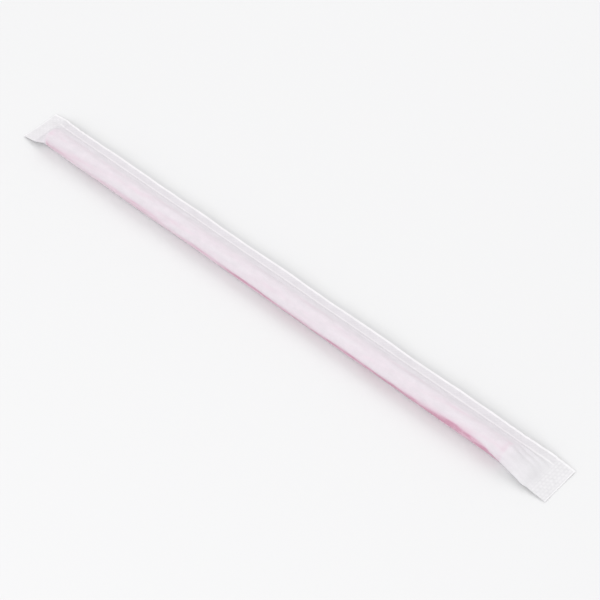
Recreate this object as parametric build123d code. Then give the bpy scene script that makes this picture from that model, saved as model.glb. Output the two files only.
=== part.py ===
from build123d import *
from math import acos, atan2, cos, hypot, pi, radians, sin, sqrt, tan
import os

# A drinking straw sealed in a wrapper, which is one sheet of paper folded in half lengthwise.
# The wrapper lies on a table. X runs along the straw, towards the end with the longer empty tab.
# Y runs across it, from the fold towards the side seal. Z is up.
# The origin is on the table, at the middle of the wrapper's length and width.
# All sizes are in millimetres.

# Straw
straw_length = 200.0
straw_diameter = 6.0
straw_wall = 0.2

# The paper sheet, and the seals that join its two plies
paper_thickness = 0.06
side_seal = 3.4
end_seal = 6.0

# Fits: the gap between straw and paper all round, the gap between the plies where they are
# pressed together, the spare width of each ply, and the empty length between the straw and the
# seal at each end
paper_clearance = 0.1
bond_gap = 0.02
wrap_slack = 1.9
front_slack = 12.0
back_slack = 5.0

# How it lies: the width of the flat under the straw, how far the paper turns up from that flat
# before it meets the straw's side, and the height of the joint between the plies where each end
# seal begins
table_flat = 1.2
tuck_angle = 45.0
front_tab_lift = 1.1
back_tab_lift = 1.6

# The crease at the fold, as the part of the straw's side that it takes up
crease_angle = 2.0

# Both faces of the sheet are measured outwards from the joint between its plies.
inner_offset = bond_gap / 2
outer_offset = inner_offset + paper_thickness

# The line of the joint is drawn round a core a little larger than the straw.
core_radius = straw_diameter / 2 + paper_clearance - inner_offset
core_height = outer_offset + core_radius

# Each ply is as wide as half the core's girth, the slack and the side seal.
free_width = pi * core_radius + wrap_slack
ply_width = free_width + side_seal
sheet_width = 2 * ply_width

half_flat = table_flat / 2
half_crease = radians(crease_angle) / 2
tuck = radians(tuck_angle)
tuck_radius = core_radius - half_flat / tan(tuck / 2)

# Stations along X, from the tip of the back tab to the tip of the front tab
wrapper_length = end_seal + back_slack + straw_length + front_slack + end_seal
back_tip = -wrapper_length / 2
back_seal = back_tip + end_seal
straw_back = back_seal + back_slack
straw_front = straw_back + straw_length
front_seal = straw_front + front_slack
front_tip = front_seal + end_seal


class Wrap:
    """The taut paper across the straw, for a seal root at a trial place beside the core."""

    def __init__(self, root_y, root_z):
        self.root_y = root_y
        self.root_z = root_z
        rise = root_z - core_height
        distance = hypot(root_y, rise)
        to_root = atan2(rise, root_y)
        away = acos(core_radius / distance)
        self.free_length = sqrt(distance**2 - core_radius**2)
        # Where the upper ply leaves the core, and how steeply each ply runs to the root
        self.upper_start = to_root + away
        self.upper_slope = pi / 2 - self.upper_start
        self.lower_slope = pi / 2 + to_root - away
        # The lower ply turns up from its flat on a tighter corner than the core.
        self.corner_radius = core_radius - half_flat / tan(self.lower_slope / 2)

    def upper_width(self):
        """The upper ply's width between the fold and the seal root."""
        return core_radius * (pi - self.upper_start) + self.free_length

    def lower_width(self):
        """The lower ply's width between the fold and the seal root."""
        behind = core_radius * (pi / 2 - tuck)
        corners = tuck_radius * tuck + self.corner_radius * self.lower_slope
        return behind + corners + 2 * table_flat + self.free_length


def settle(target, rising, low, high):
    """The place between low and high where a rising measure reaches its target."""
    for _ in range(60):
        middle = (low + high) / 2
        if rising(middle) < target:
            low = middle
        else:
            high = middle
    return (low + high) / 2


def taut_wrap(root_z):
    """The wrap with the upper ply taut over the core and its seal root at this height."""
    nearest = core_radius * 1.001
    root_y = settle(free_width, lambda y: Wrap(y, root_z).upper_width(), nearest, free_width)
    return Wrap(root_y, root_z)


def seated_wrap():
    """The wrap whose two plies are equally wide between the fold and the seal root."""
    lowest = core_height - core_radius / 2
    highest = core_height + core_radius / 2
    root_z = settle(free_width, lambda z: taut_wrap(z).lower_width(), lowest, highest)
    return taut_wrap(root_z)


# Places across the straw, with its axis at zero. The pressed ends are wider than the wrapped
# middle, by as much on each side.
wrap = seated_wrap()
margin_end = wrap.root_y + side_seal
flare = (ply_width - core_radius - margin_end) / 2
fold_y = -core_radius - flare
edge_y = fold_y + ply_width

# The straw's axis lies this far from the middle of the wrapper's width.
axis_y = (outer_offset - fold_y - edge_y) / 2


def arc(centre_y, centre_z, radius, start, end):
    """An arc across the straw, with its angles in radians anticlockwise from +Y."""
    angles = (start, (start + end) / 2, end)
    points = [(0, centre_y + radius * cos(a), centre_z + radius * sin(a)) for a in angles]
    return ThreePointArc(*points)


def wrapped_plies(offset):
    """One face of the sheet round the straw: its upper ply, its crease and its lower ply."""
    radius = core_radius + offset
    over = arc(0, core_height, radius, wrap.upper_start, pi - half_crease)
    crease = arc(0, core_height, radius, pi - half_crease, pi + half_crease)
    behind = arc(0, core_height, radius, pi + half_crease, 1.5 * pi - tuck)

    tuck_height = outer_offset + tuck_radius
    tucked = arc(-half_flat, tuck_height, tuck_radius + offset, 1.5 * pi - tuck, 1.5 * pi)
    corner_height = outer_offset + wrap.corner_radius
    corner_radius = wrap.corner_radius + offset
    raised = arc(half_flat, corner_height, corner_radius, -pi / 2, wrap.lower_slope - pi / 2)

    upper_edge = (0, margin_end, wrap.root_z + offset)
    upper_root = (0, wrap.root_y + offset * tan(wrap.upper_slope / 2), wrap.root_z + offset)
    lower_root = (0, wrap.root_y + offset * tan(wrap.lower_slope / 2), wrap.root_z - offset)
    lower_edge = (0, margin_end, wrap.root_z - offset)

    upper = [Line(upper_edge, upper_root), Line(upper_root, over @ 0), over]
    lower = [
        behind,
        Line(behind @ 1, tucked @ 0),
        tucked,
        Line(tucked @ 1, raised @ 0),
        raised,
        Line(raised @ 1, lower_root),
        Line(lower_root, lower_edge),
    ]
    return upper, crease, lower


def wrapped_line(offset):
    """One face of the sheet round the straw, from its upper edge to its lower edge."""
    upper, crease, lower = wrapped_plies(offset)
    return upper + [crease] + lower


def pressed_points(spans, height, fold_end):
    """Points across a pressed ply, from the sheet's edge to the fold, as far apart as its spans."""
    reached = edge_y
    points = [(0, reached, height)]
    for span in spans[:-1]:
        reached -= span.length
        points.append((0, reached, height))
    return points + [(0, fold_end, height)]


def pressed_line(height, offset):
    """One face of the sheet pressed flat at a height, from its upper edge to its lower edge."""
    upper, _, lower = wrapped_plies(0)
    fold_end = fold_y - offset
    above = pressed_points(upper, height + offset, fold_end)
    below = pressed_points(lower[::-1], height - offset, fold_end)
    points = above + below[::-1]
    return [Line(start, end) for start, end in zip(points, points[1:])]


def outline(x, inner, outer):
    """The closed outline of the sheet in the plane at x, from its inner and outer faces."""
    lower_end = Line(inner[-1] @ 1, outer[-1] @ 1)
    upper_end = Line(outer[0] @ 0, inner[0] @ 0)
    return Pos(x, axis_y, 0) * Wire(inner + [lower_end] + outer[::-1] + [upper_end])


def wrapped(x):
    """The sheet's outline where it is drawn round the straw."""
    return outline(x, wrapped_line(inner_offset), wrapped_line(outer_offset))


def pressed(x, height):
    """The sheet's outline where its plies are pressed together at a height."""
    return outline(x, pressed_line(height, inner_offset), pressed_line(height, outer_offset))


def wrapper():
    """The folded sheet from tip to tip, with its faces ruled from station to station."""
    outlines = [
        pressed(back_tip, outer_offset),
        pressed(back_seal, back_tab_lift),
        wrapped(straw_back - paper_clearance),
        wrapped(straw_front + paper_clearance),
        pressed(front_seal, front_tab_lift),
        pressed(front_tip, outer_offset),
    ]
    return Solid.make_loft(outlines, ruled=True)


def straw():
    """The straw, one plain tube with square ends."""
    place = Plane(origin=(straw_back, axis_y, core_height), x_dir=(0, 1, 0), z_dir=(1, 0, 0))
    outside = Circle(straw_diameter / 2)
    bore = Circle(straw_diameter / 2 - straw_wall)
    return extrude(place * (outside - bore), straw_length)


pieces = {
    "straw": straw(),
    "wrapper": wrapper(),
}

os.makedirs("parts", exist_ok=True)
for name, piece in pieces.items():
    export_step(piece, f"parts/{name}.step")

print(f"the sheet is cut to {wrapper_length:.1f} x {sheet_width:.2f} mm and folded in half")
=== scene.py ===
"""A pink drinking straw sealed in one folded sheet of thin paper, on a plain studio floor.

X runs along the straw, towards the end with the longer empty tab. Y runs across it, from the
paper's fold towards its side seal, and Z is up.
Sizes and places are in millimetres, and become metres where a mesh, a light or the camera is made.
"""

import logging
from collections.abc import Callable
from dataclasses import dataclass, field
from enum import Enum
from math import acos, atan2, cos, hypot, pi, radians, sin, sqrt, tan

import bmesh
import bpy
import numpy as np
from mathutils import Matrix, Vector

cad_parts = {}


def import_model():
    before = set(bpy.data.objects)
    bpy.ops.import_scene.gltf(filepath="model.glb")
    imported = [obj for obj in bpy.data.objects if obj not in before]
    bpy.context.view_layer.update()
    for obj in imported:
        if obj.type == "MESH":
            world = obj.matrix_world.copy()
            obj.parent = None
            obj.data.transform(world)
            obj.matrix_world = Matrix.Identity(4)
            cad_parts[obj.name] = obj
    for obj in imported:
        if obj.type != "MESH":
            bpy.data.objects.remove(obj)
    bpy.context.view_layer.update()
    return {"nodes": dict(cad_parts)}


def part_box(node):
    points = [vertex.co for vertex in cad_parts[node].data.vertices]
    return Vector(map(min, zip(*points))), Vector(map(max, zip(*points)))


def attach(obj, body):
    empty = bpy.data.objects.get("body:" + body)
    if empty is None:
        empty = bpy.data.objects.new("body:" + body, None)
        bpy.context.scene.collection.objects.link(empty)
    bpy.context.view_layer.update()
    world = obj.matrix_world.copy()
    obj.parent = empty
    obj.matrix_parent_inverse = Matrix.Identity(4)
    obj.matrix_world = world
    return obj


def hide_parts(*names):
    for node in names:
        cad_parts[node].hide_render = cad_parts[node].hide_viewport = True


log = logging.getLogger("wrapped_straw")

MM = 0.001

# How often a search halves its range
HALVINGS = 60

# The nearest that a seal root can lie to the straw's axis, as a share of the paper's radius there
NEAREST_ROOT = 1.001

# The numbers of the mix node's colour sockets, which share their names with its other sockets
MIX_FIRST = 6
MIX_SECOND = 7
MIX_RESULT = 2

Floats = np.ndarray

# Where an effect starts and where it is full
Span = tuple[float, float]

# A factor, and what is added to the product
Weight = tuple[float, float]

Triple = tuple[float, float, float]
Colour = tuple[float, float, float]
Socket = bpy.types.NodeSocket
Input = Socket | float | tuple[float, ...]


def soft_ramp(value: Floats, rounding: float) -> Floats:
    """A ramp from 0 to 1 over the same stretch of its input, with both corners rounded.

    Args:
        value: The input, where 0 is the start of the ramp and 1 its end.
        rounding: How far each corner is rounded, as a share of the ramp.

    Returns:
        The height of the ramp at each input.
    """
    start = np.logaddexp(0.0, value / rounding)
    end = np.logaddexp(0.0, (value - 1.0) / rounding)
    return rounding * (start - end)


def eased_step(value: Floats, low: float, high: float) -> Floats:
    """An eased step from 0 at low to 1 at high.

    Args:
        value: The input.
        low: Where the step starts.
        high: Where the step ends.

    Returns:
        The height of the step at each input.
    """
    share = np.clip((value - low) / (high - low), 0.0, 1.0)
    return share * share * (3.0 - 2.0 * share)


def bell(value: Floats, middle: float | Floats, reach: float | Floats, power: float = 2.0) -> Floats:
    """A smooth bump of height 1.

    Args:
        value: The input.
        middle: Where the bump is highest.
        reach: How far from its middle the bump has fallen to about a third.
        power: How flat its top and how steep its sides are.

    Returns:
        The height of the bump at each input.
    """
    return np.exp(-(np.abs((value - middle) / reach) ** power))


def settle(target: float, rising: Callable[[float], float], low: float, high: float) -> float:
    """Finds where a rising measure reaches its target.

    Args:
        target: The value to reach.
        rising: The measure.
        low: A place where it is below the target.
        high: A place where it is above the target.

    Returns:
        The place.
    """
    for _ in range(HALVINGS):
        middle = (low + high) / 2
        if rising(middle) < target:
            low = middle
        else:
            high = middle
    return (low + high) / 2


def show(name: str, data: bpy.types.ID) -> bpy.types.Object:
    """Makes an object and shows it in the scene.

    Args:
        name: The object's name.
        data: Its mesh, lamp or camera.

    Returns:
        The object.
    """
    shown = bpy.data.objects.new(name, data)
    bpy.context.scene.collection.objects.link(shown)
    return shown


def turn_to(turned: bpy.types.Object, direction: Vector) -> None:
    """Turns a lamp or the camera to look in a direction, upright."""
    turned.rotation_euler = direction.to_track_quat("-Z", "Y").to_euler()


class Ply(Enum):
    """The two halves of the folded sheet."""

    UPPER = 1
    LOWER = -1


@dataclass(frozen=True)
class Layout:
    """Where the straw and its wrapper lie, as the frame gives it."""

    back_tip: float
    front_tip: float
    fold_side: float
    seal_side: float
    crest: float
    straw_back: float
    straw_front: float
    straw_floor: float
    straw_top: float
    axis_place: float

    @classmethod
    def from_frame(cls) -> "Layout":
        """Reads the stations, sides and heights from the boxes of the two nodes.

        Returns:
            The layout, in millimetres.
        """
        straw_low, straw_high = (Vector(corner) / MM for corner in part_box("straw"))
        low, high = (Vector(corner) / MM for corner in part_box("wrapper"))
        return cls(
            back_tip=low.x,
            front_tip=high.x,
            fold_side=low.y,
            seal_side=high.y,
            crest=high.z,
            straw_back=straw_low.x,
            straw_front=straw_high.x,
            straw_floor=straw_low.z,
            straw_top=straw_high.z,
            axis_place=(straw_low.y + straw_high.y) / 2,
        )

    @property
    def straw_radius(self) -> float:
        """The straw's outer radius."""
        return (self.straw_top - self.straw_floor) / 2

    @property
    def axis_height(self) -> float:
        """The height of the straw's axis above the table."""
        return (self.straw_top + self.straw_floor) / 2

    def beyond_straw(self, along: Floats) -> Floats:
        """How far a place along the wrapper lies beyond the straw's nearer end."""
        return np.maximum(along - self.straw_front, self.straw_back - along)

    def from_tip(self, along: Floats) -> Floats:
        """The distance of a place along the wrapper from its nearer tip."""
        return np.minimum(self.front_tip - along, along - self.back_tip)


@dataclass(frozen=True)
class Paper:
    """The sizes of the folded sheet and of its seals, and how it lies."""

    thickness: float = 0.06
    bond_gap: float = 0.02
    side_seal: float = 3.4
    end_seal: float = 6.0
    table_flat: float = 1.2
    tuck_angle: float = 45.0
    front_lift: float = 1.1
    back_lift: float = 1.6

    @property
    def inner_offset(self) -> float:
        """How far the inner face stands out from the joint between the plies."""
        return self.bond_gap / 2

    @property
    def outer_offset(self) -> float:
        """How far the outer face stands out from the joint between the plies."""
        return self.inner_offset + self.thickness


@dataclass(frozen=True)
class Stretch:
    """A straight stretch of a line across the wrapper, or one that turns left over its length."""

    length: float
    turn: float = 0.0

    def run(self, reach: Floats, heading: float) -> tuple[Floats, Floats]:
        """How far the line moves on this stretch.

        Args:
            reach: Distances from the start of the stretch.
            heading: The direction in which it starts, in radians anticlockwise from +Y.

        Returns:
            The moves across the wrapper and upwards.
        """
        if not self.turn or not self.length:
            return reach * cos(heading), reach * sin(heading)
        bend = self.turn / self.length
        turned = heading + bend * reach
        return (np.sin(turned) - sin(heading)) / bend, (cos(heading) - np.cos(turned)) / bend


@dataclass(frozen=True)
class Line:
    """The line of one ply across the wrapper, from the fold to the sheet's edge."""

    place: float
    height: float
    heading: float
    stretches: tuple[Stretch, ...]
    rounding: float = 0.3
    samples: int = 5

    def at(self, reach: Floats) -> Floats:
        """Points on the line, with the corners between its stretches rounded.

        Args:
            reach: Distances from the fold.

        Returns:
            The places across the wrapper and the heights, as two rows.
        """
        offsets = np.linspace(-self.rounding, self.rounding, self.samples)
        return np.mean([self._sharp(reach + offset) for offset in offsets], axis=0)

    def _sharp(self, reach: Floats) -> Floats:
        """Points on the same line with sharp corners.

        Args:
            reach: Distances from the fold.

        Returns:
            The places across the wrapper and the heights, as two rows.
        """
        place = np.full_like(reach, self.place)
        height = np.full_like(reach, self.height)
        heading = self.heading
        used = 0.0
        for stretch in self.stretches:
            least = -np.inf if stretch is self.stretches[0] else 0.0
            most = np.inf if stretch is self.stretches[-1] else stretch.length
            moved, risen = stretch.run(np.clip(reach - used, least, most), heading)
            place += moved
            height += risen
            used += stretch.length
            heading += stretch.turn
        return np.array((place, height))


@dataclass(frozen=True)
class Seat:
    """The taut paper round the straw, for one place of the seal root beside the straw's axis."""

    radius: float
    half_flat: float
    root: float
    rise: float

    @property
    def straight(self) -> float:
        """The straight length of each flank."""
        return sqrt(self.root**2 + self.rise**2 - self.radius**2)

    @property
    def upper_slope(self) -> float:
        """How steeply the upper ply falls to the root."""
        return pi / 2 - atan2(self.rise, self.root) - self._away()

    @property
    def lower_slope(self) -> float:
        """How steeply the lower ply rises to the root."""
        return pi / 2 + atan2(self.rise, self.root) - self._away()

    @property
    def corner(self) -> float:
        """The radius on which the lower ply turns up from its flat."""
        return self.radius - self.half_flat / tan(self.lower_slope / 2)

    def _away(self) -> float:
        """The angle at the straw's axis between the root and the end of either flank."""
        return acos(self.radius / hypot(self.root, self.rise))


class Section:
    """The folded sheet across the straw, seated as the frame has it."""

    def __init__(self, layout: Layout, paper: Paper) -> None:
        """Finds where the seal root lies, and the line of each ply.

        Args:
            layout: The stations, sides and heights of the frame.
            paper: The sizes of the paper.
        """
        self.radius = layout.crest / 2 - paper.outer_offset
        self.ply_width = layout.seal_side - layout.fold_side - paper.outer_offset
        self.free = self.ply_width - paper.side_seal
        self.margin = self.ply_width - self.free
        self.half_flat = paper.table_flat / 2
        self.tuck = radians(paper.tuck_angle)
        self.tuck_radius = self.radius - self.half_flat / tan(self.tuck / 2)
        self.fold_place = layout.fold_side + paper.outer_offset
        seat = self._seated()
        place = layout.axis_place - self.radius
        self.lines = {
            Ply.UPPER: Line(place, layout.axis_height, pi / 2, self._upper(seat)),
            Ply.LOWER: Line(place, layout.axis_height, -pi / 2, self._lower(seat)),
        }

    def _upper(self, seat: Seat) -> tuple[Stretch, ...]:
        """The upper ply's stretches: over the straw, down its flank and out along the seal.

        Args:
            seat: How the paper is seated.

        Returns:
            The stretches, from the fold to the sheet's edge.
        """
        over = pi / 2 + seat.upper_slope
        return (
            Stretch(self.radius * over, -over),
            Stretch(seat.straight),
            Stretch(0.0, seat.upper_slope),
            Stretch(self.margin),
        )

    def _lower(self, seat: Seat) -> tuple[Stretch, ...]:
        """The lower ply's stretches: behind the straw, under it, up its flank and along the seal.

        Args:
            seat: How the paper is seated.

        Returns:
            The stretches, from the fold to the sheet's edge.
        """
        behind = pi / 2 - self.tuck
        return (
            Stretch(self.radius * behind, behind),
            Stretch(self.half_flat),
            Stretch(self.tuck_radius * self.tuck, self.tuck),
            Stretch(2 * self.half_flat),
            Stretch(seat.corner * seat.lower_slope, seat.lower_slope),
            Stretch(self.half_flat + seat.straight),
            Stretch(0.0, -seat.lower_slope),
            Stretch(self.margin),
        )

    @staticmethod
    def _width(stretches: tuple[Stretch, ...]) -> float:
        """The paper that a ply's stretches take up between the fold and the seal root."""
        return sum(stretch.length for stretch in stretches[:-1])

    def _taut(self, rise: float) -> Seat:
        """Finds the seat whose upper ply is taut.

        Args:
            rise: How far its root lies above the straw's axis.

        Returns:
            The seat.
        """
        root = settle(
            self.free,
            lambda trial: self._width(self._upper(Seat(self.radius, self.half_flat, trial, rise))),
            self.radius * NEAREST_ROOT,
            self.free,
        )
        return Seat(self.radius, self.half_flat, root, rise)

    def _seated(self) -> Seat:
        """Finds the seat whose two plies take up as much paper.

        Returns:
            The seat.
        """
        rise = settle(
            self.free,
            lambda trial: self._width(self._lower(self._taut(trial))),
            -self.radius / 2,
            self.radius / 2,
        )
        return self._taut(rise)


@dataclass(frozen=True)
class Ripple:
    """An uneven swell of the paper, as a sum of seeded waves, rounded or creased."""

    along: float
    across: float
    height: float
    seed: int
    waves: int = 9
    spread: float = 0.45
    creased: bool = False

    def at(self, along: Floats, across: Floats) -> Floats:
        """The height of the swell.

        Args:
            along: Places along the paper.
            across: Places across the paper.

        Returns:
            The heights, evenly above and below zero.
        """
        draw = np.random.default_rng(self.seed)
        total = np.zeros_like(along)
        for _ in range(self.waves):
            pitch_along = self.along * draw.uniform(1.0 - self.spread, 1.0 + self.spread)
            pitch_across = self.across * draw.uniform(1.0 - self.spread, 1.0 + self.spread)
            lean = draw.choice((-1.0, 1.0))
            phase = draw.uniform(0.0, 2.0 * pi)
            wave = np.sin(2.0 * pi * (along / pitch_along + lean * across / pitch_across) + phase)
            total += np.arcsin(wave) / (pi / 2) if self.creased else wave
        return self.height * total / sqrt(self.waves / 2)


@dataclass(frozen=True)
class SideKnurl:
    """The bond pressed along the margin: rows of beads between a fine line and the edge line.

    Rows and lines are placed out from the seal root, and edge_fade is measured in from the edge line.
    """

    bead_pitch: float = 1.3
    bead_height: float = 0.035
    bead_reach: float = 0.35
    rows: tuple[float, ...] = (0.95, 1.65, 2.35)
    root_line: float = 0.32
    root_reach: float = 0.34
    edge_line: float = 2.95
    edge_reach: float = 0.36
    edge_fade: Span = (0.4, 0.1)
    line_height: float = 0.07
    # How much painted highlight the tops of the beads get
    bead_painted_light: float = 0.3

    def beads(self, along: Floats, margin: Floats) -> Floats:
        """The shape of the beads.

        Args:
            along: Places along the paper.
            margin: Distances out from the seal root.

        Returns:
            1 on the top of a bead, and 0 between the beads.
        """
        total = np.zeros_like(along)
        for number, row in enumerate(self.rows):
            turn = 2.0 * pi * along / self.bead_pitch + pi * number
            total += (0.5 + 0.5 * np.cos(turn)) * bell(margin, row, self.bead_reach)
        return total

    def height(self, along: Floats, margin: Floats) -> Floats:
        """The height of the bond's relief.

        Args:
            along: Places along the paper.
            margin: Distances out from the seal root.

        Returns:
            The heights.
        """
        root = bell(margin, self.root_line, self.root_reach)
        edge = bell(margin, self.edge_line, self.edge_reach)
        return self.line_height * (root + edge) + self.bead_height * self.beads(along, margin)

    def painted_edge_light(self, margin: Floats) -> Floats:
        """The painted highlight along the edge line: 0 inside it, and 1 from the line to the sheet's
        edge.
        """
        inner, outer = (self.edge_line - fade for fade in self.edge_fade)
        return eased_step(margin, inner, outer)

    def painted_relief_light(self, along: Floats, margin: Floats) -> Floats:
        """Painted highlight, most along the edge line, and painted shade, most between the beads.

        Args:
            along: Places along the paper.
            margin: Distances out from the seal root.

        Returns:
            The whiteness, from 0 to 1.
        """
        root = bell(margin, self.root_line, self.root_reach)
        beads = self.bead_painted_light * self.beads(along, margin)
        return np.maximum(np.maximum(self.painted_edge_light(margin), root), beads)


@dataclass(frozen=True)
class EndCrimp:
    """The waffle pressed into each end tab: rows of small pillows, each set half a pillow over."""

    row_pitch: float = 1.0
    pillow_width: float = 1.6
    depth: float = 0.06
    plain_lip: float = 0.5
    lip_fade: float = 0.2
    # Shares of painted light: painted shade in the grooves, a painted highlight on the pillows
    groove_painted_light: float = 0.1
    pillow_painted_light: float = 0.5

    def pillows(self, from_tip: Floats, across: Floats) -> Floats:
        """The shape of the waffle.

        Args:
            from_tip: Distances in from the tip of the tab.
            across: Places across the tab.

        Returns:
            1 on the top of a pillow, and 0 in a groove or on the lip.
        """
        row = (from_tip - self.plain_lip) / self.row_pitch
        column = across / self.pillow_width + 0.5 * np.floor(row)
        pillow = np.sqrt(np.abs(np.sin(pi * row) * np.sin(pi * column)))
        return pillow * eased_step(from_tip, 0.0, self.plain_lip)

    def height(self, from_tip: Floats, across: Floats) -> Floats:
        """The height of the waffle above its grooves."""
        return self.depth * self.pillows(from_tip, across)

    def painted_relief_light(self, from_tip: Floats, across: Floats) -> Floats:
        """Painted highlight, most on the lip, and painted shade, most in the grooves.

        Args:
            from_tip: Distances in from the tip of the tab.
            across: Places across the tab.

        Returns:
            The share of painted highlight against painted shade, from 0 to 1.
        """
        lip = 1.0 - eased_step(from_tip, self.plain_lip - self.lip_fade, self.plain_lip)
        waffle = self.groove_painted_light + self.pillow_painted_light * self.pillows(from_tip, across)
        return np.maximum(lip, waffle)


@dataclass(frozen=True)
class Touch:
    """How the paper lies against the straw at one place along it.

    line is the place of the touching line, out from the fold and below zero on the lower ply, reach
    is how far the paper stays close above it, and gap is the paper's gap on the line.
    """

    along: float
    line: float
    reach: float
    gap: float


@dataclass(frozen=True)
class Contact:
    """How close the paper lies to the straw: along one line near the fold, fuller to the front.

    reach_below is how much further it stays close below the line, and under is where the lower ply
    leaves the straw's underside.
    """

    touches: tuple[Touch, ...] = (
        Touch(-100.0, 0.0, 1.6, 0.22),
        Touch(-40.0, -0.25, 1.35, 0.14),
        Touch(5.0, -0.55, 1.2, 0.02),
        Touch(45.0, -0.6, 1.35, 0.0),
        Touch(70.0, -0.3, 1.65, 0.0),
        Touch(85.0, 0.3, 2.2, 0.0),
        Touch(91.0, -0.1, 1.6, 0.0),
        Touch(96.5, -1.1, 0.5, 0.06),
    )
    steepness: float = 3.0
    reach_below: float = 2.3
    crest_gap: float = 0.45
    rim_place: float = -0.4
    rim_reach: float = 0.9
    rim_dip: float = 0.2
    under: Span = (-4.1, -2.8)
    drift: Ripple = Ripple(60.0, 400.0, 0.12, seed=17, waves=5)
    bands: Ripple = Ripple(70.0, 1.9, 0.02, seed=18)
    play: Ripple = Ripple(24.0, 60.0, 0.012, seed=19)

    def gap(self, along: Floats, across: Floats, beyond: Floats) -> Floats:
        """How far the paper stands off its taut line.

        Args:
            along: Places along the paper.
            across: Places across the paper, from the fold.
            beyond: How far each place lies beyond the straw's nearer end.

        Returns:
            The gaps.
        """
        stations = [touch.along for touch in self.touches]
        line, reach, least = (
            np.interp(along, stations, values)
            for values in zip(*((touch.line, touch.reach, touch.gap) for touch in self.touches))
        )
        line = line + self.drift.at(along, np.zeros_like(across))
        reach = np.where(across < line, reach * self.reach_below, reach)
        gap = self.crest_gap - (self.crest_gap - least) * bell(across, line, reach, self.steepness)
        gap = gap * (1.0 - self.rim_dip * bell(beyond, self.rim_place, self.rim_reach))
        uneven = self.bands.at(along, across) + self.play.at(along, across)
        return (gap + uneven) * eased_step(across, *self.under)


@dataclass(frozen=True)
class Sway:
    """How the margin and the tabs wave up and down, both plies together.

    Margin spans are measured out from the seal root, in widths of the side seal, and tab spans in
    from the tip, in lengths of the end seal.
    """

    slow_wave: Ripple = Ripple(55.0, 400.0, 0.16, seed=11)
    edge_wave: Ripple = Ripple(15.0, 60.0, 0.045, seed=12)
    wave_margin: Span = (-0.4, 1.2)
    wave_tab: Span = (0.7, 1.5)
    pucker: Ripple = Ripple(4.6, 40.0, 1.0, seed=13, creased=True, waves=5)
    pucker_height: float = 0.22
    pucker_reach: float = 14.0
    pucker_margin: Span = (-1.3, 0.9)
    seal_curl: float = 0.35
    seal_curl_margin: Span = (-1.0, 1.0)
    fold_curl: float = 0.15
    fold_curl_width: Span = (0.0, 4.0)
    curl_tab: Span = (0.0, 1.0)
    front_curl_share: float = 0.5

    def waves(self, along: Floats, width: Floats, margin: Floats, inwards: Floats) -> Floats:
        """The waves of the margin, with the puckers beside the tabs.

        Args:
            along: Places along the paper.
            width: Distances from the fold.
            margin: Distances out from the seal root, in widths of the side seal.
            inwards: Distances in from the seal of the nearer tab.

        Returns:
            The heights.
        """
        puckered = self.pucker_height * np.exp(-inwards / self.pucker_reach)
        wave = self.slow_wave.at(along, width) + self.edge_wave.at(along, width)
        wave *= eased_step(margin, *self.wave_margin)
        return wave + puckered * self.pucker.at(along, width) * eased_step(margin, *self.pucker_margin)

    def curls(self, along: Floats, width: Floats, margin: Floats) -> Floats:
        """How far the corners of a tab curl up, less at the front.

        Args:
            along: Places along the paper.
            width: Distances from the fold.
            margin: Distances out from the seal root, in widths of the side seal.

        Returns:
            The heights at the tip of the tab.
        """
        curl = self.seal_curl * eased_step(margin, *self.seal_curl_margin)
        curl += self.fold_curl * (1.0 - eased_step(width, *self.fold_curl_width))
        return curl * np.where(along > 0.0, self.front_curl_share, 1.0)


@dataclass(frozen=True)
class Creases:
    """The small creases all over the free paper, and those that fan out from the tabs."""

    skin: Ripple = Ripple(38.0, 4.2, 0.055, seed=15, creased=True, waves=6)
    crumple: Ripple = Ripple(8.0, 2.6, 0.016, seed=16, creased=True)
    fan: Ripple = Ripple(50.0, 2.9, 1.0, seed=14, creased=True, waves=5)
    fan_height: float = 0.09
    fan_width: Span = (0.2, 1.6)

    def small(self, along: Floats, across: Floats) -> Floats:
        """The height of the small creases, evenly above and below zero."""
        return self.skin.at(along, across) + self.crumple.at(along, across)

    def fanned(self, along: Floats, across: Floats, full: Floats) -> Floats:
        """The height of the fan, which is most where the sleeve is half filled out.

        Args:
            along: Places along the paper.
            across: Distances from the fold, below zero on the lower ply.
            full: How far the sleeve is filled out at each place, from 0 to 1.

        Returns:
            The heights, evenly above and below zero.
        """
        # Four times the two shares comes to 1 where both are a half.
        height = self.fan_height * 4.0 * full * (1.0 - full) * self.fan.at(along, across)
        return height * eased_step(np.abs(across), *self.fan_width)


@dataclass(frozen=True)
class Grid:
    """How finely the sheet is divided, in its plain parts, in its seals and round its fold."""

    plain_length: float = 0.56
    plain_width: float = 0.36
    seal_length: float = 0.24
    seal_width: float = 0.28
    fold: tuple[float, ...] = (0.0, 0.05, 0.12, 0.22, 0.4)


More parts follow.
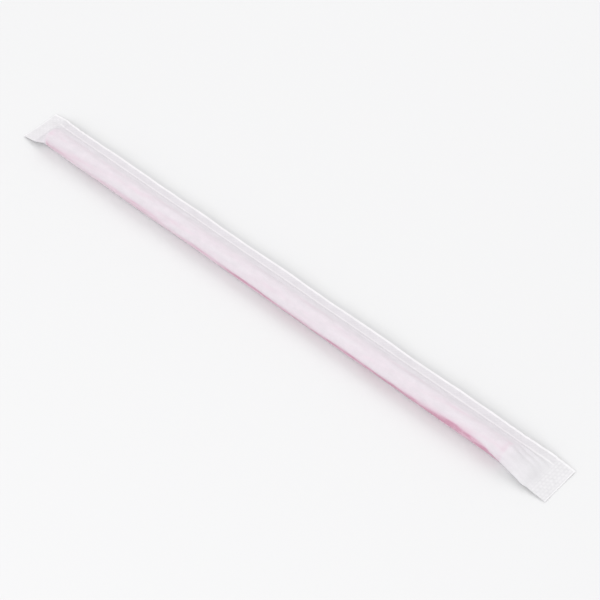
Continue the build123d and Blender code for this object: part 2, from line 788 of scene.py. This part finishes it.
@dataclass
class Sleeve:
    """The sealed sleeve: one sheet folded along one side, and bonded along the other and its ends.

    tab_edge and free_start are measured in from the tip, in lengths of the end seal. margin_edge is
    measured out from the seal root, free_end in from it, and crimp_start out from the fold. closest
    is the least that the paper may stand off its taut line.
    """

    layout: Layout
    paper: Paper = field(default_factory=Paper)
    knurl: SideKnurl = field(default_factory=SideKnurl)
    crimp: EndCrimp = field(default_factory=EndCrimp)
    contact: Contact = field(default_factory=Contact)
    swaying: Sway = field(default_factory=Sway)
    creases: Creases = field(default_factory=Creases)
    grid: Grid = field(default_factory=Grid)
    rim_allowance: float = 0.5
    pull_in: float = 0.12
    filled_rounding: float = 0.04
    joint_rounding: float = 0.12
    loop_height: float = 0.05
    loop_reach: float = 0.1
    normal_step: float = 0.04
    tab_edge: Span = (0.96, 1.04)
    margin_edge: Span = (-0.15, 0.1)
    crimp_start: Span = (0.15, 0.7)
    free_end: Span = (1.6, 0.1)
    free_start: Span = (1.05, 1.5)
    closest: float = -0.04
    show_through_fall: float = 0.14
    glow_fall: float = 6.0
    sharp_angle: float = 60.0

    def __post_init__(self) -> None:
        """Works out the section and the stations that the methods share."""
        self.section = Section(self.layout, self.paper)
        self.front_edge = self.layout.front_tip - self.paper.end_seal
        self.back_edge = self.layout.back_tip + self.paper.end_seal

    def fullness(self, along: Floats) -> Floats:
        """How far the sleeve is filled out.

        Args:
            along: Places along the paper.

        Returns:
            1 along the straw, falling to 0 where the plies are pressed flat.
        """
        front = self.layout.straw_front + self.rim_allowance
        back = self.layout.straw_back - self.rim_allowance
        beyond_front = (along - front) / (self.front_edge - front)
        beyond_back = (back - along) / (back - self.back_edge)
        left = 1.0 - soft_ramp(np.maximum(beyond_front, beyond_back), self.filled_rounding)
        return left * (1.0 - self.pull_in * (1.0 - left))

    def tab_share(self, along: Floats) -> Floats:
        """How far in from its tip a place on a tab lies: 1 at the seal's edge, and more beyond it."""
        return self.layout.from_tip(along) / self.paper.end_seal

    def joint_height(self, along: Floats) -> Floats:
        """The height of the joint between the pressed plies.

        Args:
            along: Places along the paper.

        Returns:
            The heights above the table.
        """
        tip = self.paper.outer_offset
        lift = np.where(along > 0.0, self.paper.front_lift, self.paper.back_lift)
        return tip + (lift - tip) * soft_ramp(self.tab_share(along), self.joint_rounding)

    def surface(self, along: Floats, across: Floats) -> Floats:
        """The plain formed sheet, where its plies would meet.

        Args:
            along: Places along the paper.
            across: Distances from the fold, below zero on the lower ply.

        Returns:
            The points, one row each.
        """
        reach = np.abs(across)
        upper, lower = (self.section.lines[ply].at(reach) for ply in (Ply.UPPER, Ply.LOWER))
        round_y, round_z = np.where(across > 0.0, upper, lower)
        # The pressed fold keeps a small loop, which is highest at one loop reach from the fold.
        turn = across / self.loop_reach
        flat_y = self.section.fold_place + np.hypot(reach, self.loop_reach)
        flat_z = self.joint_height(along) + self.loop_height * turn * np.exp(0.5 - 0.5 * turn**2)
        full = self.fullness(along)
        y = flat_y + (round_y - flat_y) * full
        z = flat_z + (round_z - flat_z) * full
        return np.column_stack((along, y, z))

    def normals(self, along: Floats, across: Floats) -> Floats:
        """The outward normals of the plain formed sheet.

        Args:
            along: Places along the paper.
            across: Distances from the fold, below zero on the lower ply.

        Returns:
            The unit normals, one row each.
        """
        step = self.normal_step
        lengthwise = self.surface(along + step, across) - self.surface(along - step, across)
        crosswise = self.surface(along, across + step) - self.surface(along, across - step)
        normal = np.cross(lengthwise, crosswise)
        return normal / np.linalg.norm(normal, axis=1, keepdims=True)

    def margin(self, across: Floats) -> Floats:
        """The distance out from the seal root, negative inside it."""
        return np.abs(across) - self.section.free

    def in_tab(self, along: Floats) -> Floats:
        """1 on the end tabs and 0 between them, eased over the seal's edge."""
        return 1.0 - eased_step(self.tab_share(along), *self.tab_edge)

    def in_margin(self, across: Floats) -> Floats:
        """1 on the side seal and 0 inside it, eased over the seal root."""
        return eased_step(self.margin(across), *self.margin_edge)

    def pressed(self, along: Floats, across: Floats) -> Floats:
        """The relief that the seals press into both plies together.

        Args:
            along: Places along the paper.
            across: Distances from the fold, below zero on the lower ply.

        Returns:
            The heights.
        """
        width = np.abs(across)
        side = self.knurl.height(along, self.margin(across)) * self.in_margin(across)
        end = self.crimp.height(self.layout.from_tip(along), width)
        end = end * eased_step(width, *self.crimp_start)
        tab = self.in_tab(along)
        return side * (1.0 - tab) + end * tab

    def painted_relief_light(self, along: Floats, across: Floats) -> Floats:
        """Painted light on the seals, from painted shade at 0 in their grooves to a painted highlight
        at 1 on their edges.

        Args:
            along: Places along the paper.
            across: Distances from the fold, below zero on the lower ply.

        Returns:
            The share of painted highlight.
        """
        margin = self.margin(across)
        side = self.knurl.painted_relief_light(along, margin) * self.in_margin(across)
        end = self.crimp.painted_relief_light(self.layout.from_tip(along), np.abs(across))
        end = np.maximum(end, self.knurl.painted_edge_light(margin))
        tab = self.in_tab(along)
        return side * (1.0 - tab) + end * tab

    def sway(self, along: Floats, across: Floats) -> Floats:
        """How far the margin and the corners of the tabs wave up and down, both plies together.

        Args:
            along: Places along the paper.
            across: Distances from the fold, below zero on the lower ply.

        Returns:
            The heights.
        """
        width = np.abs(across)
        margin = self.margin(across) / self.paper.side_seal
        share = self.tab_share(along)
        inwards = np.clip(self.layout.from_tip(along) - self.paper.end_seal, 0.0, None)
        wave = self.swaying.waves(along, width, margin, inwards)
        curl = self.swaying.curls(along, width, margin)
        curl *= 1.0 - eased_step(share, *self.swaying.curl_tab)
        return wave * eased_step(share, *self.swaying.wave_tab) + curl

    def proud(self, along: Floats, across: Floats) -> Floats:
        """How far the paper stands off its taut line, away from the straw.

        Args:
            along: Places along the paper.
            across: Distances from the fold, below zero on the lower ply.

        Returns:
            The distances.
        """
        inner, outer = (self.section.free - inside for inside in self.free_end)
        open_width = 1.0 - eased_step(np.abs(across), inner, outer)
        open_length = eased_step(self.tab_share(along), *self.free_start)
        above = eased_step(across, *self.contact.under)
        uneven = self.creases.small(along, across) * above
        lifted = self.contact.gap(along, across, self.layout.beyond_straw(along))
        fan = self.creases.fanned(along, across, self.fullness(along))
        return (np.maximum(lifted + uneven, self.closest) + fan) * open_width * open_length

    def points(self, along: Floats, across: Floats) -> Floats:
        """The finished inner face of the sheet, kept above the table.

        Args:
            along: Places along the paper.
            across: Distances from the fold, below zero on the lower ply.

        Returns:
            The points, one row each.
        """
        out = self.proud(along, across) + self.paper.inner_offset
        points = self.surface(along, across) + self.normals(along, across) * out[:, None]
        points[:, 2] += self.pressed(along, across) + self.sway(along, across)
        lowest = self.paper.thickness + np.where(across > 0.0, self.paper.bond_gap, 0.0)
        points[:, 2] = np.maximum(points[:, 2], lowest)
        return points

    def nearness(self, points: Floats, fall: float) -> Floats:
        """How near the paper lies to the straw.

        Args:
            points: Points on the inner face.
            fall: How much further off the paper lies where the nearness has fallen to a third.

        Returns:
            1 where the paper touches the straw, falling to 0 away from it.
        """
        layout = self.layout
        radial = np.hypot(points[:, 1] - layout.axis_place, points[:, 2] - layout.axis_height)
        beyond = layout.beyond_straw(points[:, 0])
        gap = np.hypot(np.clip(radial - layout.straw_radius, 0.0, None), np.clip(beyond, 0.0, None))
        taut = self.section.radius - layout.straw_radius
        return np.exp(-np.clip(gap - taut, 0.0, None) / fall)

    def flat_sheet(self) -> bmesh.types.BMesh:
        """The sheet as it is cut, flat in the plane of X and Y, with its fold along X.

        Returns:
            The flat sheet, with its places along and across the paper as X and Y.
        """
        grid = self.grid
        stations = [self.layout.back_tip]
        stations += self._cells(self.layout.back_tip, self.back_edge, grid.seal_length)
        stations += self._cells(self.back_edge, self.front_edge, grid.plain_length)
        stations += self._cells(self.front_edge, self.layout.front_tip, grid.seal_length)
        half = list(grid.fold)
        half += self._cells(grid.fold[-1], self.section.free, grid.plain_width)
        half += self._cells(self.section.free, self.section.ply_width, grid.seal_width)
        columns = [-place for place in half[:0:-1]] + half
        sheet = bmesh.new()
        rows = [[sheet.verts.new((x, y, 0.0)) for y in columns] for x in stations]
        for row, following in zip(rows, rows[1:]):
            for at in range(len(columns) - 1):
                sheet.faces.new((row[at], following[at], following[at + 1], row[at + 1]))
        return sheet

    @staticmethod
    def _cells(low: float, high: float, cell: float) -> list[float]:
        """Divides a stretch into even cells.

        Args:
            low: Where the stretch starts.
            high: Where it ends.
            cell: The rough size of a cell.

        Returns:
            The places where the cells end.
        """
        count = round((high - low) / cell)
        return [low + (high - low) * number / count for number in range(1, count + 1)]

    def build(self, name: str) -> bpy.types.Object:
        """Forms the sheet as a closed thin shell.

        Args:
            name: The piece's name.

        Returns:
            The sleeve's object.
        """
        sheet = self.flat_sheet()
        mesh = bpy.data.meshes.new(name)
        sheet.to_mesh(mesh)
        sheet.free()
        flat = np.empty(len(mesh.vertices) * 3)
        mesh.vertices.foreach_get("co", flat)
        along, across = flat.reshape(-1, 3)[:, 0].copy(), flat.reshape(-1, 3)[:, 1].copy()
        points = self.points(along, across)
        mesh.vertices.foreach_set("co", (points * MM).ravel())
        # Painted show-through of the straw's pink, which the colour ramp darkens with painted shade
        # where the paper touches
        self._mark(mesh, "show_through_and_shade", self.nearness(points, self.show_through_fall))
        # Painted pink light, spreading from the straw through the paper
        self._mark(mesh, "glow", self.nearness(points, self.glow_fall))
        # Painted highlights on the seals' ridges and edges, and painted shade in their grooves
        self._mark(mesh, "painted_relief_light", self.painted_relief_light(along, across))
        self._mark(mesh, "seal", np.maximum(self.in_margin(across), self.in_tab(along)))
        sheet_place = mesh.attributes.new("sheet", "FLOAT_VECTOR", "POINT")
        sheet_place.data.foreach_set("vector", (flat * MM).astype(np.float32))
        mesh.polygons.foreach_set("use_smooth", [True] * len(mesh.polygons))
        piece = show(name, mesh)
        self._thicken(piece)
        return piece

    @staticmethod
    def _mark(mesh: bpy.types.Mesh, name: str, values: Floats) -> None:
        """Writes one value for each vertex.

        Args:
            mesh: The mesh to mark.
            name: The name of the value.
            values: The values, in the order of the vertices.
        """
        layer = mesh.attributes.new(name, "FLOAT", "POINT")
        layer.data.foreach_set("value", values.astype(np.float32))

    def _thicken(self, piece: bpy.types.Object) -> None:
        """Gives the paper its thickness, outwards from its inner face.

        Args:
            piece: The sleeve's object, still one face thick.
        """
        solid = piece.modifiers.new("thickness", "SOLIDIFY")
        solid.thickness = self.paper.thickness * MM
        solid.offset = 1.0
        depsgraph = bpy.context.evaluated_depsgraph_get()
        thick = bpy.data.meshes.new_from_object(piece.evaluated_get(depsgraph))
        piece.modifiers.clear()
        piece.data = thick
        thick.name = piece.name
        thick.set_sharp_from_angle(angle=radians(self.sharp_angle))


def opaque(colour: Colour) -> tuple[float, float, float, float]:
    """The colour with full opacity."""
    return (*colour, 1.0)


class NodeDesk:
    """A material's node tree, with short ways to add nodes and join them."""

    def __init__(self, name: str) -> None:
        """Starts an empty material.

        Args:
            name: The material's name.
        """
        self.material = bpy.data.materials.new(name)
        self.material.use_nodes = True
        self.tree = self.material.node_tree
        self.tree.nodes.clear()

    def add(
        self, kind: str, inputs: dict[str | int, Input] | None = None, **settings: str
    ) -> bpy.types.Node:
        """Adds a node.

        Args:
            kind: The node's type.
            inputs: Values or output sockets for its inputs, by name or number.
            **settings: The node's own properties.

        Returns:
            The node.
        """
        node = self.tree.nodes.new(kind)
        for key, value in settings.items():
            setattr(node, key, value)
        for key, value in (inputs or {}).items():
            if isinstance(value, Socket):
                self.tree.links.new(value, node.inputs[key])
            else:
                node.inputs[key].default_value = value
        return node

    def mix(self, share: Input, first: Input, second: Input, blend: str = "MIX") -> Socket:
        """Mixes two colours.

        Args:
            share: How much of the second colour to take.
            first: The first colour or its socket.
            second: The second colour or its socket.
            blend: The way of mixing.

        Returns:
            The mixed colour's socket.
        """
        inputs = {0: share, MIX_FIRST: first, MIX_SECOND: second}
        return self.add("ShaderNodeMix", inputs, data_type="RGBA", blend_type=blend).outputs[MIX_RESULT]

    def math(self, operation: str, *values: Input) -> Socket:
        """Combines numbers.

        Args:
            operation: The sum to do.
            *values: The numbers or their sockets.

        Returns:
            The result's socket.
        """
        return self.add("ShaderNodeMath", dict(enumerate(values)), operation=operation).outputs[0]

    def weigh(self, value: Socket, factor: float, added: Input) -> Socket:
        """Multiplies a number and adds another.

        Args:
            value: The number's socket.
            factor: What it is multiplied by.
            added: What is added to the product.

        Returns:
            The result's socket.
        """
        return self.math("MULTIPLY_ADD", value, factor, added)

    def ramp(self, share: Socket, stops: tuple[tuple[float, Colour], ...]) -> Socket:
        """A run of colours.

        Args:
            share: Where along the run to look.
            stops: Places along the run and their colours, in order.

        Returns:
            The colour's socket.
        """
        node = self.add("ShaderNodeValToRGB", {0: share})
        elements = node.color_ramp.elements
        for element, (place, colour) in zip(elements, (stops[0], stops[-1])):
            element.position = place
            element.color = opaque(colour)
        for place, colour in stops[1:-1]:
            elements.new(place).color = opaque(colour)
        return node.outputs[0]

    def cloud(self, place: Socket, size: Triple, turn: float = 0.0, detail: float = 2.0) -> Socket:
        """A cloudy pattern, or short strands where its sizes differ much.

        Args:
            place: The places that the pattern is fixed to.
            size: The rough size of a cloud along each axis, in millimetres.
            turn: How far the pattern is turned about Z, in degrees.
            detail: How many finer layers it has.

        Returns:
            The pattern's socket, around a half.
        """
        scale = tuple(length * MM for length in size)
        settings = {"Vector": place, "Rotation": (0.0, 0.0, radians(turn)), "Scale": scale}
        mapped = self.add("ShaderNodeMapping", settings, vector_type="TEXTURE").outputs[0]
        noise = {"Vector": mapped, "Scale": 1.0, "Detail": detail}
        return self.add("ShaderNodeTexNoise", noise).outputs[0]

    def relief(self, height: Socket, strength: float, depth: float) -> Socket:
        """Raises the surface by a pattern.

        Args:
            height: The pattern's socket.
            strength: How much of the relief shows, up to 1.
            depth: How deep it is, in millimetres.

        Returns:
            The raised surface's socket.
        """
        raised = {"Height": height, "Strength": strength, "Distance": depth * MM}
        return self.add("ShaderNodeBump", raised).outputs[0]

    def finish(self, shader: Socket) -> bpy.types.Material:
        """Joins the last shader to the output.

        Args:
            shader: The last shader's socket.

        Returns:
            The material.
        """
        self.add("ShaderNodeOutputMaterial", {"Surface": shader})
        return self.material


@dataclass(frozen=True)
class PaperFinish:
    """Thin matte tissue, cool white and fibrous, with the straw's pink painted where it lies close.

    The colours run from plain to a darker touching pink as the paper nears the straw. That pink is
    the straw's seen through the paper, painted from the gap rather than traced through it, and its
    darkest stop adds painted shade along the line where the paper touches. The weights for that
    pink set how the clouds and strands let it show, and the light weights how light they leave the
    paper.
    """

    plain: Colour = (0.855, 0.848, 0.866)
    haze: Colour = (0.852, 0.792, 0.83)
    # The close and touching stops: the straw's pink seen through the paper, painted rather than traced,
    # darkened by painted shade where the paper touches
    close: Colour = (0.79, 0.58, 0.67)
    touching_shaded: Colour = (0.67, 0.37, 0.48)
    # Painted highlight on the seals' ridges and edges, and painted shade in their grooves
    white: Colour = (0.975, 0.97, 0.98)
    groove: Colour = (0.80, 0.79, 0.81)
    # Painted pink light that spreads from the straw through the paper
    glow: Colour = (1.0, 0.955, 0.985)
    haze_place: float = 0.09
    close_place: float = 0.6
    roughness: float = 0.62
    shine: float = 0.35
    sheen: float = 0.1
    translucency: float = 0.18
    cloud_size: Triple = (3.4, 2.0, 2.0)
    cloud_detail: float = 4.0
    cloud_show_through: Weight = (1.0, 0.5)
    cloud_light: float = 0.15
    strand_size: Triple = (1.7, 0.09, 1.0)
    strand_turns: tuple[float, ...] = (12.0, 64.0, 118.0, 165.0)
    strand_edge: Span = (0.52, 0.74)
    strand_show_through: Weight = (-0.22, 1.03)
    strand_light: Weight = (0.03, 0.905)
    strand_strength: float = 0.45
    strand_depth: float = 0.015

    def material(self, name: str) -> bpy.types.Material:
        """Makes the finish.

        Args:
            name: The material's name.

        Returns:
            The material.
        """
        desk = NodeDesk(name)
        place = desk.add("ShaderNodeAttribute", attribute_name="sheet").outputs["Vector"]
        show_through_and_shade, glow, painted_relief_light, seal = (
            desk.add("ShaderNodeAttribute", attribute_name=mark).outputs["Fac"]
            for mark in ("show_through_and_shade", "glow", "painted_relief_light", "seal")
        )
        cloud = desk.cloud(place, self.cloud_size, detail=self.cloud_detail)
        strands = self._strands(desk, place)
        shown = desk.math("MULTIPLY", show_through_and_shade, desk.weigh(cloud, *self.cloud_show_through))
        shown = desk.math("MULTIPLY", shown, desk.weigh(strands, *self.strand_show_through))
        # The straw's pink seen through the paper, painted, with painted shade along the touching line
        colour = desk.ramp(
            shown,
            (
                (0.0, self.plain),
                (self.haze_place, self.haze),
                (self.close_place, self.close),
                (1.0, self.touching_shaded),
            ),
        )
        # The seals: from painted shade in the grooves to a painted highlight on the ridges and edges
        bond = desk.mix(painted_relief_light, opaque(self.groove), opaque(self.white))
        colour = desk.mix(seal, colour, bond)
        # Painted pink light from the straw, spread through the paper
        colour = desk.mix(glow, colour, opaque(self.glow), blend="MULTIPLY")
        light = desk.weigh(cloud, self.cloud_light, desk.weigh(strands, *self.strand_light))
        grey = desk.add("ShaderNodeCombineColor", {0: light, 1: light, 2: light}).outputs[0]
        colour = desk.mix(1.0, colour, grey, blend="MULTIPLY")
        raised = desk.relief(strands, self.strand_strength, self.strand_depth)
        settings = {
            "Normal": raised,
            "Base Color": colour,
            "Roughness": self.roughness,
            "Specular IOR Level": self.shine,
            "Sheen Weight": self.sheen,
        }
        paper = desk.add("ShaderNodeBsdfPrincipled", settings).outputs[0]
        through = desk.add("ShaderNodeBsdfTranslucent", {"Normal": raised, "Color": colour}).outputs[0]
        mixed = {0: self.translucency, 1: paper, 2: through}
        return desk.finish(desk.add("ShaderNodeMixShader", mixed).outputs[0])

    def _strands(self, desk: NodeDesk, place: Socket) -> Socket:
        """Fine fibres that lie across each other in several directions.

        Args:
            desk: The material's node tree.
            place: The places on the paper.

        Returns:
            The fibres' socket: 1 on a fibre, and 0 between fibres.
        """
        low, high = self.strand_edge
        lain = None
        for turn in self.strand_turns:
            cloud = desk.cloud(place, self.strand_size, turn, detail=1.0)
            spread = {"Value": cloud, "From Min": low, "From Max": high}
            layer = desk.add("ShaderNodeMapRange", spread).outputs[0]
            lain = layer if lain is None else desk.math("MAXIMUM", lain, layer)
        return lain


@dataclass(frozen=True)
class StrawFinish:
    """Soft pink moulded plastic, with faint streaks along the tube."""

    colour: Colour = (0.79, 0.147, 0.253)
    streak: Colour = (0.84, 0.2, 0.31)
    streak_size: Triple = (30.0, 0.5, 0.5)
    streak_strength: float = 0.3
    streak_depth: float = 0.02
    roughness: float = 0.32

    def material(self, name: str) -> bpy.types.Material:
        """Makes the finish.

        Args:
            name: The material's name.

        Returns:
            The material.
        """
        desk = NodeDesk(name)
        place = desk.add("ShaderNodeTexCoord").outputs["Object"]
        streaks = desk.cloud(place, self.streak_size)
        colour = desk.mix(streaks, opaque(self.colour), opaque(self.streak))
        raised = desk.relief(streaks, self.streak_strength, self.streak_depth)
        settings = {"Base Color": colour, "Roughness": self.roughness, "Normal": raised}
        return desk.finish(desk.add("ShaderNodeBsdfPrincipled", settings).outputs[0])


@dataclass(frozen=True)
class FloorFinish:
    """Plain matte white."""

    colour: Colour = (0.785, 0.785, 0.79)
    roughness: float = 0.8
    shine: float = 0.1

    def material(self, name: str) -> bpy.types.Material:
        """Makes the finish.

        Args:
            name: The material's name.

        Returns:
            The material.
        """
        desk = NodeDesk(name)
        settings = {
            "Base Color": opaque(self.colour),
            "Roughness": self.roughness,
            "Specular IOR Level": self.shine,
        }
        return desk.finish(desk.add("ShaderNodeBsdfPrincipled", settings).outputs[0])


@dataclass(frozen=True)
class SoftBox:
    """A large soft lamp, aimed at the straw."""

    name: str
    place: Triple
    width: float
    height: float
    power: float

    def build(self) -> bpy.types.Object:
        """Hangs the lamp.

        Returns:
            The lamp's object.
        """
        lamp = bpy.data.lights.new(self.name, "AREA")
        lamp.shape = "RECTANGLE"
        lamp.size = self.width * MM
        lamp.size_y = self.height * MM
        lamp.energy = self.power
        hung = show(self.name, lamp)
        hung.location = Vector(self.place) * MM
        turn_to(hung, -hung.location)
        return hung


@dataclass
class Studio:
    """The floor, the light and the camera round the straw."""

    layout: Layout
    floor_side: float = 6000.0
    azimuth: float = 44.0
    elevation: float = 48.0
    distance: float = 560.0
    lens: float = 104.0
    nearest_seen: float = 10.0
    sky: float = 0.84
    sky_colour: Colour = (1.0, 1.0, 1.0)
    lamps: tuple[SoftBox, ...] = (
        SoftBox("key", (240.0, -920.0, 780.0), 900.0, 700.0, 5.2),
        SoftBox("fill", (-300.0, 750.0, 900.0), 900.0, 700.0, 3.3),
    )

    def build(self) -> None:
        """Sets up the whole studio."""
        self.build_floor()
        self.build_light()
        self.build_camera()
        bpy.context.scene.view_settings.view_transform = "Standard"

    def build_floor(self) -> bpy.types.Object:
        """Lays the floor.

        Returns:
            The floor's object.
        """
        half = self.floor_side / 2 * MM
        corners = [(-half, -half, 0.0), (half, -half, 0.0), (half, half, 0.0), (-half, half, 0.0)]
        mesh = bpy.data.meshes.new("floor")
        mesh.from_pydata(corners, [], [(0, 1, 2, 3)])
        mesh.materials.append(FloorFinish().material("floor_white"))
        floor = show("floor", mesh)
        return floor

    def build_light(self) -> None:
        """Hangs the lamps, and fills the room with an even pale light."""
        for lamp in self.lamps:
            lamp.build()
        world = bpy.data.worlds.new("room")
        world.use_nodes = True
        background = world.node_tree.nodes["Background"]
        background.inputs["Color"].default_value = opaque(self.sky_colour)
        background.inputs["Strength"].default_value = self.sky
        bpy.context.scene.world = world

    def build_camera(self) -> bpy.types.Object:
        """Stands the camera so that both tips lie as far from the picture's middle.

        Returns:
            The camera's object.
        """
        turn, tilt = radians(self.azimuth), radians(self.elevation)
        towards = Vector((sin(turn) * cos(tilt), -cos(turn) * cos(tilt), sin(tilt)))
        place = towards * self.distance
        front = Vector((self.layout.front_tip, 0.0, 0.0))
        back = Vector((self.layout.back_tip, 0.0, 0.0))
        near, far = (place - front).length, (place - back).length
        aim = back.lerp(front, far / (near + far))
        aim.z = self.layout.axis_height
        lens = bpy.data.cameras.new("camera")
        lens.lens = self.lens
        lens.clip_start = self.nearest_seen * MM
        camera = show("camera", lens)
        camera.location = place * MM
        turn_to(camera, aim - place)
        bpy.context.scene.camera = camera
        return camera


@dataclass
class WrappedStraw:
    """The whole object: the straw of the frame, and the sleeve round it."""

    layout: Layout
    straw_finish: StrawFinish = field(default_factory=StrawFinish)
    paper_finish: PaperFinish = field(default_factory=PaperFinish)

    def build(self, nodes: dict[str, bpy.types.Object]) -> None:
        """Dresses the straw and forms the sleeve.

        Args:
            nodes: The frame's nodes by name.
        """
        self.dress_straw(nodes["straw"])
        sleeve = Sleeve(self.layout).build("sleeve")
        sleeve.data.materials.append(self.paper_finish.material("tissue_paper"))
        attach(sleeve, "root")
        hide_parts("wrapper")
        sleeve.data.calc_loop_triangles()
        log.info("%s: %d triangles", sleeve.name, len(sleeve.data.loop_triangles))

    def dress_straw(self, straw: bpy.types.Object) -> None:
        """Gives the straw its plastic.

        Args:
            straw: The straw's node.
        """
        plastic = self.straw_finish.material("pink_plastic")
        for place in straw.material_slots:
            place.material = plastic
        log.info("%s: dressed", straw.name)


def main() -> None:
    """Loads the frame, builds the straw in its wrapper, and sets up the studio."""
    logging.basicConfig(level=logging.INFO, format="%(message)s")
    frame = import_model()
    layout = Layout.from_frame()
    WrappedStraw(layout).build(frame["nodes"])
    Studio(layout).build()


if __name__ == "__main__":
    main()
